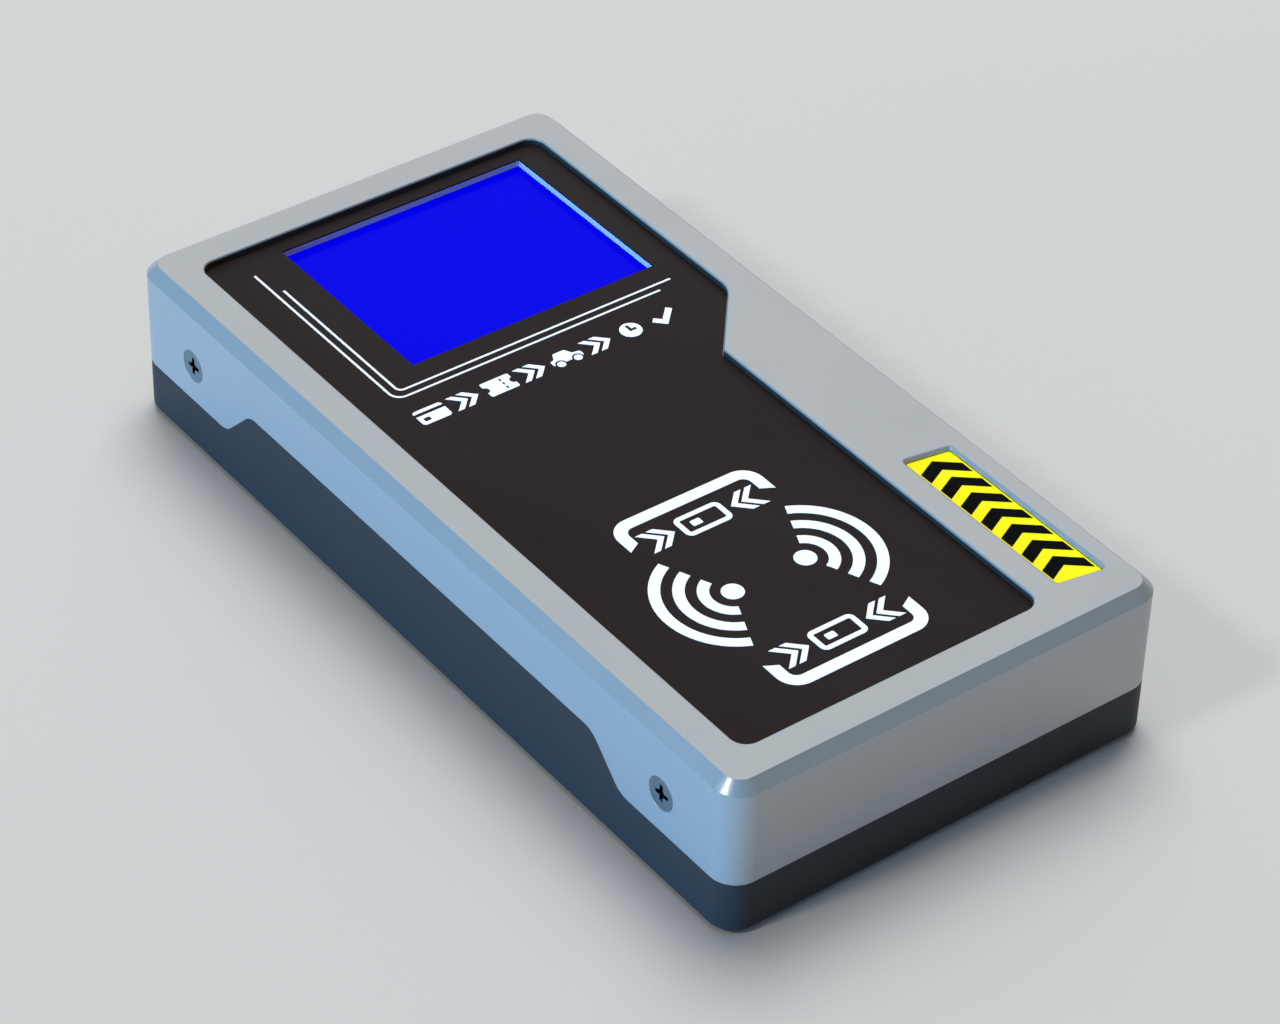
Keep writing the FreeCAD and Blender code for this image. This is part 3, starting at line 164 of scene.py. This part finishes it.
class Finish:
    """One material's node tree, with short calls for the patterns that the finishes share."""

    def __init__(self, name, colour, roughness, metallic=0.0, specular=0.5):
        self.material = bpy.data.materials.new(name)
        self.material.use_nodes = True
        self.tree = self.material.node_tree
        self.shader = self.tree.nodes["Principled BSDF"]
        self.shader.inputs["Base Color"].default_value = (*colour, 1)
        self.shader.inputs["Roughness"].default_value = roughness
        self.shader.inputs["Metallic"].default_value = metallic
        self.shader.inputs["Specular IOR Level"].default_value = specular
        self.colour = colour
        self.where = self.millimetres()

    def add(self, kind, **settings):
        made = self.tree.nodes.new(kind)
        for name, value in settings.items():
            setattr(made, name, value)
        return made

    def join(self, source, target):
        self.tree.links.new(source, target)

    def feed(self, target, value):
        """Gives a socket a link from another socket, a colour or a number."""
        if isinstance(value, bpy.types.NodeSocket):
            self.join(value, target)
        elif isinstance(value, tuple):
            target.default_value = (*value, 1)
        else:
            target.default_value = value

    def millimetres(self):
        """The object's own coordinates, in millimetres."""
        place = self.add("ShaderNodeTexCoord")
        scale = self.add("ShaderNodeVectorMath", operation="SCALE")
        self.join(place.outputs["Object"], scale.inputs[0])
        scale.inputs["Scale"].default_value = 1 / MM
        return scale.outputs[0]

    def stretched(self, x, y, z):
        """The coordinates squeezed along each axis, so that a pattern runs in lines."""
        squeeze = self.add("ShaderNodeVectorMath", operation="MULTIPLY")
        self.join(self.where, squeeze.inputs[0])
        squeeze.inputs[1].default_value = (x, y, z)
        return squeeze.outputs[0]

    def noise(self, size, detail=2.0, where=None):
        """Cloudy noise whose blobs are about size millimetres across."""
        cloud = self.add("ShaderNodeTexNoise")
        self.join(where or self.where, cloud.inputs["Vector"])
        cloud.inputs["Scale"].default_value = 1 / size
        cloud.inputs["Detail"].default_value = detail
        return cloud.outputs["Fac"]

    def cells(self, size, feature="F1"):
        """Cells about size millimetres across."""
        cell = self.add("ShaderNodeTexVoronoi", feature=feature)
        self.join(self.where, cell.inputs["Vector"])
        cell.inputs["Scale"].default_value = 1 / size
        return cell.outputs["Distance"]

    def range(self, value, low, high, to_low=0.0, to_high=1.0):
        """Maps low..high to to_low..to_high, clamped."""
        mapped = self.add("ShaderNodeMapRange")
        self.join(value, mapped.inputs["Value"])
        sockets = ("From Min", "From Max", "To Min", "To Max")
        for socket, number in zip(sockets, (low, high, to_low, to_high)):
            mapped.inputs[socket].default_value = number
        return mapped.outputs["Result"]

    def spread(self, noise, to_low=0.0, to_high=1.0):
        """Most of a noise lies between 0.3 and 0.7, which this maps to to_low..to_high."""
        return self.range(noise, 0.3, 0.7, to_low, to_high)

    def crisp(self, noise, to_low=0.0, to_high=1.0):
        """Like spread, with harder borders between the low and the high patches."""
        return self.range(noise, 0.35, 0.65, to_low, to_high)

    def math(self, operation, *values):
        made = self.add("ShaderNodeMath", operation=operation)
        for socket, value in zip(made.inputs, values):
            self.feed(socket, value)
        return made.outputs[0]

    def mix(self, share, first, second):
        """A colour between first, at share 0, and second, at share 1."""
        blend = self.add("ShaderNodeMix", data_type="RGBA")
        self.feed(blend.inputs["Factor"], share)
        self.feed(blend.inputs[mix_first], first)
        self.feed(blend.inputs[mix_second], second)
        return blend.outputs[mix_result]

    def axis(self, name):
        split = self.add("ShaderNodeSeparateXYZ")
        self.join(self.where, split.inputs[0])
        return split.outputs[name]

    def inside(self, low, high, margin):
        """1 over a box as seen from the top, widened by a margin in millimetres, and 0 beside it."""
        hits = []
        for name, start, end in (("X", low.x, high.x), ("Y", low.y, high.y)):
            middle = (start + end) / 2 / MM
            off_middle = self.math("ABSOLUTE", self.math("SUBTRACT", self.axis(name), middle))
            hits.append(self.math("LESS_THAN", off_middle, (end - start) / 2 / MM + margin))
        return self.math("MINIMUM", *hits)

    def edges(self, radius):
        """1 on sharp edges, 0 elsewhere. Radius is in millimetres. The match is the cosine between
        the surface's own direction and the one that it has with its edges rounded."""
        flat_match = 0.98
        edge_match = 0.85
        rounded = self.add("ShaderNodeBevel", samples=4)
        rounded.inputs["Radius"].default_value = radius * MM
        plain = self.add("ShaderNodeNewGeometry")
        match = self.add("ShaderNodeVectorMath", operation="DOT_PRODUCT")
        self.join(rounded.outputs["Normal"], match.inputs[0])
        self.join(plain.outputs["Normal"], match.inputs[1])
        return self.range(match.outputs["Value"], flat_match, edge_match)

    def paint(self, value):
        self.join(value, self.shader.inputs["Base Color"])

    def polish(self, value):
        self.join(value, self.shader.inputs["Roughness"])

    def relief(self, height, depth):
        """A bump whose depth is in millimetres."""
        bump = self.add("ShaderNodeBump")
        bump.inputs["Distance"].default_value = depth * MM
        self.join(height, bump.inputs["Height"])
        self.join(bump.outputs["Normal"], self.shader.inputs["Normal"])

    def shade(self, factor):
        """The finish's own colour, darker below 1 and lighter above it."""
        return tuple(min(1.0, part * factor) for part in self.colour)


# ---------------------------------------------------------------- finishes

# How large the patterns of a moulded skin are, against its grain.
flow_to_grain = 40
patch_to_grain = 12
edge_to_grain = 1.5

# How large the patterns of a metal are, against its drawn or turned lines.
patch_to_line = 12
edge_to_line = 0.6


def moulded(name, colour, roughness, grain, depth, wear=1.5, specular=0.4, metallic=0.0):
    """Moulded plastic: a fine even texture, a little flow mottling and slightly polished edges.
    Wear is the shade of the plastic where an edge is rubbed."""
    worn_share = 0.6
    polished_share = 0.3
    finish = Finish(name, colour, roughness, metallic, specular)
    texture = finish.noise(grain, detail=3)
    flow = finish.noise(grain * flow_to_grain, detail=2)
    edge = finish.edges(grain * edge_to_grain)
    patches = finish.crisp(finish.noise(grain * patch_to_grain))
    worn = finish.math("MULTIPLY", edge, patches)
    body = finish.mix(finish.spread(flow), finish.shade(0.94), finish.shade(1.05))
    speck = finish.mix(finish.crisp(texture), finish.shade(0.9), body)
    finish.paint(finish.mix(finish.math("MULTIPLY", worn, worn_share), speck, finish.shade(wear)))
    matt = finish.spread(texture, roughness * 0.92, roughness * 1.1)
    polished = finish.math("MULTIPLY", worn, roughness * polished_share)
    finish.polish(finish.math("SUBTRACT", matt, polished))
    finish.relief(texture, depth)
    return finish.material


def silver_paint():
    """Silver paint over moulded plastic: metal flakes and faintly rubbed edges. The walls of the
    panel recess are painted near-black as painted shade. The walls of the screen window are pale
    plastic, lightened and tinted lavender as painted light from the display's glow."""
    # Near-black painted shade for the recess walls. It stands in for their shade and the dark panel's
    # reflection.
    painted_wall_shade = (0.036, 0.024, 0.019)
    # Pale plastic colour for the screen window's walls, lightened and tinted lavender as painted light
    # from the display's glow.
    glow_lit_plastic = (0.62, 0.44, 0.47)
    rubbed_silver = (0.7, 0.7, 0.7)
    rubbed_share = 0.25
    metal_share = 0.55
    window_margin = 0.6
    finish = Finish("silver_paint", (0.40, 0.40, 0.393), 0.32)
    speck = finish.spread(finish.noise(size=0.3, detail=3))
    grey = finish.mix(speck, finish.shade(0.97), finish.shade(1.03))
    scuffs = finish.range(finish.noise(size=9.0, detail=3), low=0.45, high=0.65)
    rubbed = finish.math("MULTIPLY", finish.edges(radius=0.25), scuffs)
    coat = finish.mix(finish.math("MULTIPLY", rubbed, rubbed_share), grey, rubbed_silver)
    # The mask of the recess walls' painted shade.
    wall_shade = recess_wall_shade(finish)
    window = next(o for o in frame["record"]["physics"]["openings"] if o["name"] == "screen_window")
    # The window walls' mask: where the pale colour and the painted glow light go.
    glow_lit_walls = finish.inside(*map(Vector, window["box_m"]), margin=window_margin)
    finish.paint(finish.mix(glow_lit_walls, finish.mix(wall_shade, coat, painted_wall_shade), glow_lit_plastic))
    plain = finish.math("MAXIMUM", wall_shade, glow_lit_walls)
    metallic = finish.range(plain, low=0.0, high=1.0, to_low=metal_share, to_high=0.0)
    finish.join(metallic, finish.shader.inputs["Metallic"])
    handled = finish.noise(size=22.0, detail=3)
    finish.polish(finish.spread(handled, 0.31, 0.37))
    finish.relief(finish.noise(size=0.35, detail=3), depth=0.0025)
    return finish.material


def recess_wall_shade(finish):
    """Where the painted shade goes: 1 on the walls of the panel's recess, fading out near the top of the
    rim, and 0 elsewhere.
    The badge's pocket stays out of it. The margins and fades are in millimetres."""
    wall_margin = 0.5
    pocket_margin = 1.5
    # How high up the rim the painted shade reaches, as a share of the rim's height.
    shade_top_share = 0.75
    fade_below, fade_above = 0.1, 0.28
    seat_slack = 0.05
    low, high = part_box("front_panel")
    recess = finish.inside(low, high, margin=wall_margin)
    badge = finish.inside(*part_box("badge_plate"), margin=pocket_margin)
    rim = (high.z + shade_top_share * (cad_high.z - high.z)) / MM
    below_rim = finish.range(finish.axis("Z"), low=rim - fade_below, high=rim + fade_above,
                             to_low=1.0, to_high=0.0)
    above_seat = finish.math("GREATER_THAN", finish.axis("Z"), low.z / MM - seat_slack)
    walls = finish.math("MULTIPLY", finish.math("SUBTRACT", recess, badge), below_rim)
    return finish.math("MULTIPLY", walls, above_seat)


def panel_film():
    """Printed polycarbonate film: near-black ink under a fine velvet grain, with faint wipe marks."""
    finish = Finish("panel_film", (0.015, 0.0092, 0.0084), 0.5, specular=0.12)
    grain = finish.noise(size=0.28, detail=3)
    finish.paint(finish.mix(finish.crisp(grain), finish.shade(0.8), finish.shade(1.2)))
    wiped = finish.noise(size=30.0, detail=4, where=finish.stretched(1.0, 0.35, 1.0))
    finish.polish(finish.crisp(wiped, 0.5, 0.6))
    finish.relief(grain, depth=0.006)
    return finish.material


def display_face(across, along):
    """A lit blue display behind clear glass: a fine grid of across by along dots over an even
    backlight."""
    dim_blue, bright_blue, gap_blue = (0.0, 0.0, 0.79), (0.0, 0.0, 0.83), (0.0, 0.0, 0.6)
    gap_start, gap_full, gap_share = 0.40, 0.48, 0.25
    finish = Finish("display_glass", (0.0, 0.0, 0.02), 0.22, specular=0.015)
    low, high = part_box("screen_glass")
    pitch_x = (high.x - low.x) / MM / across
    pitch_y = (high.y - low.y) / MM / along
    lines = []
    for name, pitch in (("X", pitch_x), ("Y", pitch_y)):
        phase = finish.math("FRACT", finish.math("DIVIDE", finish.axis(name), pitch))
        off_centre = finish.math("ABSOLUTE", finish.math("SUBTRACT", phase, 0.5))
        lines.append(finish.range(off_centre, gap_start, gap_full))
    grid = finish.math("MAXIMUM", *lines)
    lamp = finish.spread(finish.noise(size=26.0))
    blue = finish.mix(lamp, dim_blue, bright_blue)
    gaps = finish.math("MULTIPLY", grid, gap_share)
    glow = finish.mix(gaps, blue, gap_blue)
    finish.join(glow, finish.shader.inputs["Emission Color"])
    finish.shader.inputs["Emission Strength"].default_value = 1.0
    finish.polish(finish.spread(finish.noise(size=14.0, detail=3), 0.18, 0.26))
    return finish.material


def printed(name, colour, roughness, specular=0.15):
    """Screen-printed ink: faint pits from the mesh of the screen, and slightly thin spots."""
    finish = Finish(name, colour, roughness, specular=specular)
    thin = finish.range(finish.noise(size=0.3, detail=3), low=0.25, high=0.5)
    finish.paint(finish.mix(thin, finish.shade(0.96), colour))
    finish.polish(finish.spread(finish.noise(size=4.0), roughness * 0.85, roughness * 1.1))
    finish.relief(finish.cells(size=0.15), depth=0.004)
    return finish.material


def satin_label(name, colour, roughness):
    """Laminated label: smooth satin film over fine paper fibre, with a slightly dirty cut edge."""
    soiled_share = 0.25
    finish = Finish(name, colour, roughness, specular=0.15)
    fibre = finish.noise(size=0.5, detail=4, where=finish.stretched(1.0, 0.4, 1.0))
    clean = finish.mix(finish.spread(fibre), finish.shade(0.97), colour)
    soiled = finish.math("MULTIPLY", finish.edges(radius=0.3), soiled_share)
    finish.paint(finish.mix(soiled, clean, finish.shade(0.6)))
    finish.polish(finish.spread(finish.noise(size=9.0, detail=3), roughness * 0.9, roughness * 1.12))
    finish.relief(fibre, depth=0.004)
    return finish.material


def metal(name, colour, roughness, grain=(1.0, 1.0, 1.0), size=0.3, tarnish=0.75):
    """Bare or plated metal: fine drawn or turned lines, tarnish patches and bright rubbed edges.
    Size is the width of the lines, and tarnish is the shade of the dull patches."""
    line_depth = 0.002
    tarnished_share = 0.5
    bright_share = 0.6
    dulled_share = 0.3
    finish = Finish(name, colour, roughness, metallic=1.0)
    lines = finish.noise(size, detail=4, where=finish.stretched(*grain))
    patches = finish.range(finish.noise(size * patch_to_line, detail=4), low=0.4, high=0.65)
    tarnished = finish.math("MULTIPLY", patches, tarnished_share)
    base = finish.mix(tarnished, colour, finish.shade(tarnish))
    bright = finish.math("MULTIPLY", finish.edges(size * edge_to_line), bright_share)
    finish.paint(finish.mix(bright, base, finish.shade(1.2)))
    matt = finish.spread(lines, roughness * 0.8, roughness * 1.25)
    dulled = finish.math("MULTIPLY", patches, roughness * dulled_share)
    finish.polish(finish.math("ADD", matt, dulled))
    finish.relief(lines, line_depth)
    return finish.material


def screw_steel():
    """Blue-passivated zinc on steel in cloudy patches, with painted shade darkening the deep part of
    the heads' recesses."""
    tint = (0.19, 0.34, 0.49)
    painted_recess_shade = (0.015, 0.015, 0.017)
    # Near-black painted shade for the deep part of the cross recesses.
    recess_share = 0.6
    shade_start_depth, shade_full_depth = 0.05, 0.3
    finish = Finish("screw_steel", (0.14, 0.29, 0.46), 0.28, metallic=1.0)
    patches = finish.spread(finish.noise(size=1.6, detail=3))
    tinted = finish.mix(patches, finish.colour, tint)
    low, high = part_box("case_screws")
    head_radius = (high.z - low.z) / 2 / MM
    depth = finish.math("SUBTRACT", high.x / MM, finish.math("ABSOLUTE", finish.axis("X")))
    from_middle = finish.math("ABSOLUTE", finish.axis("Y"))
    beside = finish.math("SUBTRACT", from_middle, high.y / MM - head_radius)
    above = finish.math("SUBTRACT", finish.axis("Z"), low.z / MM + head_radius)
    squares = [finish.math("MULTIPLY", side, side) for side in (beside, above)]
    off_axis = finish.math("SQRT", finish.math("ADD", *squares))
    in_recess = finish.math("LESS_THAN", off_axis, head_radius * recess_share)
    # Painted shade: darker the deeper it lies in the recess, near the head's axis.
    recess_shade = finish.math("MULTIPLY", in_recess, finish.range(depth, shade_start_depth, shade_full_depth))
    finish.paint(finish.mix(recess_shade, tinted, painted_recess_shade))
    finish.polish(finish.range(patches, low=0.0, high=1.0, to_low=0.24, to_high=0.34))
    finish.relief(finish.noise(size=0.15, detail=3), depth=0.0015)
    return finish.material


def circuit_board():
    """Solder mask over copper: a net of tracks raised under the mask, and tinned dots for vias."""
    masked_copper = (0.03, 0.22, 0.08)
    tin = (0.55, 0.56, 0.5)
    finish = Finish("board_green", (0.012, 0.12, 0.045), 0.32)
    track_map = finish.cells(size=1.6, feature="DISTANCE_TO_EDGE")
    tracks = finish.range(track_map, low=0.09, high=0.06)
    vias = finish.range(finish.cells(size=2.4), low=0.14, high=0.1)
    masked = finish.mix(tracks, finish.colour, masked_copper)
    mottled = finish.mix(finish.spread(finish.noise(size=6.0, detail=3)), finish.shade(0.8), masked)
    finish.paint(finish.mix(vias, mottled, tin))
    finish.polish(finish.spread(finish.noise(size=1.0, detail=3), 0.26, 0.38))
    finish.relief(tracks, depth=0.03)
    return finish.material


def film_cable():
    """Flat film cable: a white jacket over conductors, about half a millimetre apart, that show
    as faint ridges."""
    between = (0.6, 0.6, 0.62)
    wave_scale = 0.6
    finish = Finish("cable_white", (0.72, 0.73, 0.75), 0.38)
    wave = finish.add("ShaderNodeTexWave", wave_type="BANDS", bands_direction="X")
    finish.join(finish.where, wave.inputs["Vector"])
    wave.inputs["Scale"].default_value = wave_scale
    ridges = wave.outputs["Fac"]
    finish.paint(finish.mix(ridges, between, finish.colour))
    finish.polish(finish.spread(finish.noise(size=2.0), 0.33, 0.45))
    finish.relief(ridges, depth=0.04)
    return finish.material


def rubber():
    """Moulded rubber foot: deep matt, dusty in patches, with a fine pebbled skin."""
    dust_grey = (0.12, 0.115, 0.11)
    dusty_share = 0.35
    finish = Finish("rubber", (0.028, 0.028, 0.03), 0.85, specular=0.25)
    pebble = finish.cells(size=0.35)
    dust = finish.range(finish.noise(size=3.0, detail=5), low=0.45, high=0.75)
    dusty = finish.math("MULTIPLY", dust, dusty_share)
    finish.paint(finish.mix(dusty, finish.colour, dust_grey))
    finish.polish(finish.range(pebble, low=0.0, high=0.8, to_low=0.78, to_high=0.92))
    finish.relief(pebble, depth=0.03)
    return finish.material


def floor_paint():
    """The studio's pale matt floor."""
    finish = Finish("floor", (0.60, 0.595, 0.59), 0.75, specular=0.2)
    cloud = finish.spread(finish.noise(size=180.0, detail=3))
    finish.paint(finish.mix(cloud, finish.shade(0.985), finish.colour))
    finish.polish(finish.spread(finish.noise(size=60.0), 0.7, 0.8))
    return finish.material


def make_finishes():
    """One material for each of the record's material slots."""
    return {
        "silver_paint": silver_paint(),
        "dark_abs": moulded("dark_abs", (0.029, 0.028, 0.029), 0.55, grain=0.35, depth=0.02, wear=2.0,
                            specular=0.24),
        "panel_film": panel_film(),
        "display_glass": display_face(across=128, along=96),
        "white_ink": printed("white_ink", (0.91, 0.87, 0.86), 0.5),
        "black_ink": printed("black_ink", (0.003, 0.003, 0.003), 0.65, specular=0.03),
        "yellow_label": satin_label("yellow_label", (0.95, 0.86, 0.0), 0.45),
        "blank_label": satin_label("blank_label", (0.78, 0.78, 0.76), 0.45),
        "adhesive": satin_label("adhesive", (0.7, 0.69, 0.64), 0.6),
        "screw_steel": screw_steel(),
        "brass": metal("brass", (0.72, 0.5, 0.2), 0.3, grain=(0.2, 1.0, 1.0), size=0.15),
        "tin_leads": metal("tin_leads", (0.66, 0.66, 0.65), 0.35, grain=(0.3, 1.0, 1.0), size=0.1),
        "can_metal": metal("can_metal", (0.62, 0.63, 0.65), 0.28, grain=(1.0, 1.0, 0.1), size=0.2),
        "cell_steel": metal("cell_steel", (0.62, 0.62, 0.63), 0.25, grain=(1.0, 0.1, 1.0), size=0.15),
        "contact_nickel": metal("contact_nickel", (0.62, 0.59, 0.52), 0.2, grain=(1.0, 0.1, 1.0),
                                size=0.1),
        "shield_metal": metal("shield_metal", (0.58, 0.59, 0.61), 0.34, grain=(1.0, 0.08, 1.0),
                              size=0.25),
        "contact_gold": metal("contact_gold", (0.83, 0.6, 0.24), 0.22, grain=(1.0, 0.1, 1.0), size=0.08),
        "copper_track": metal("copper_track", (0.72, 0.38, 0.2), 0.38, size=0.3, tarnish=0.6),
        "rubber": rubber(),
        "board_green": circuit_board(),
        "cable_white": film_cable(),
        "white_plastic": moulded("white_plastic", (0.74, 0.74, 0.72), 0.42, grain=0.3, depth=0.006,
                                 wear=1.1),
        "socket_ivory": moulded("socket_ivory", (0.7, 0.63, 0.48), 0.45, grain=0.2, depth=0.005,
                                wear=1.15),
        "black_plastic": moulded("black_plastic", (0.016, 0.016, 0.018), 0.42, grain=0.2, depth=0.008,
                                 wear=3.0),
        "chip_black": moulded("chip_black", (0.018, 0.018, 0.02), 0.5, grain=0.12, depth=0.006,
                              wear=2.5),
        "ferrite": moulded("ferrite", (0.07, 0.07, 0.075), 0.6, grain=0.15, depth=0.015, wear=1.8,
                           metallic=0.3),
    }


def dress_nodes(finishes):
    """Gives every CAD node the finish that the record names for it."""
    for part in frame["record"]["subparts"]:
        node = frame["nodes"][part["node"]]
        for slot in node.material_slots:
            slot.material = finishes[part["material_slot"]]


make_camera()
make_studio(make_floor(floor_paint()))
dress_nodes(make_finishes())
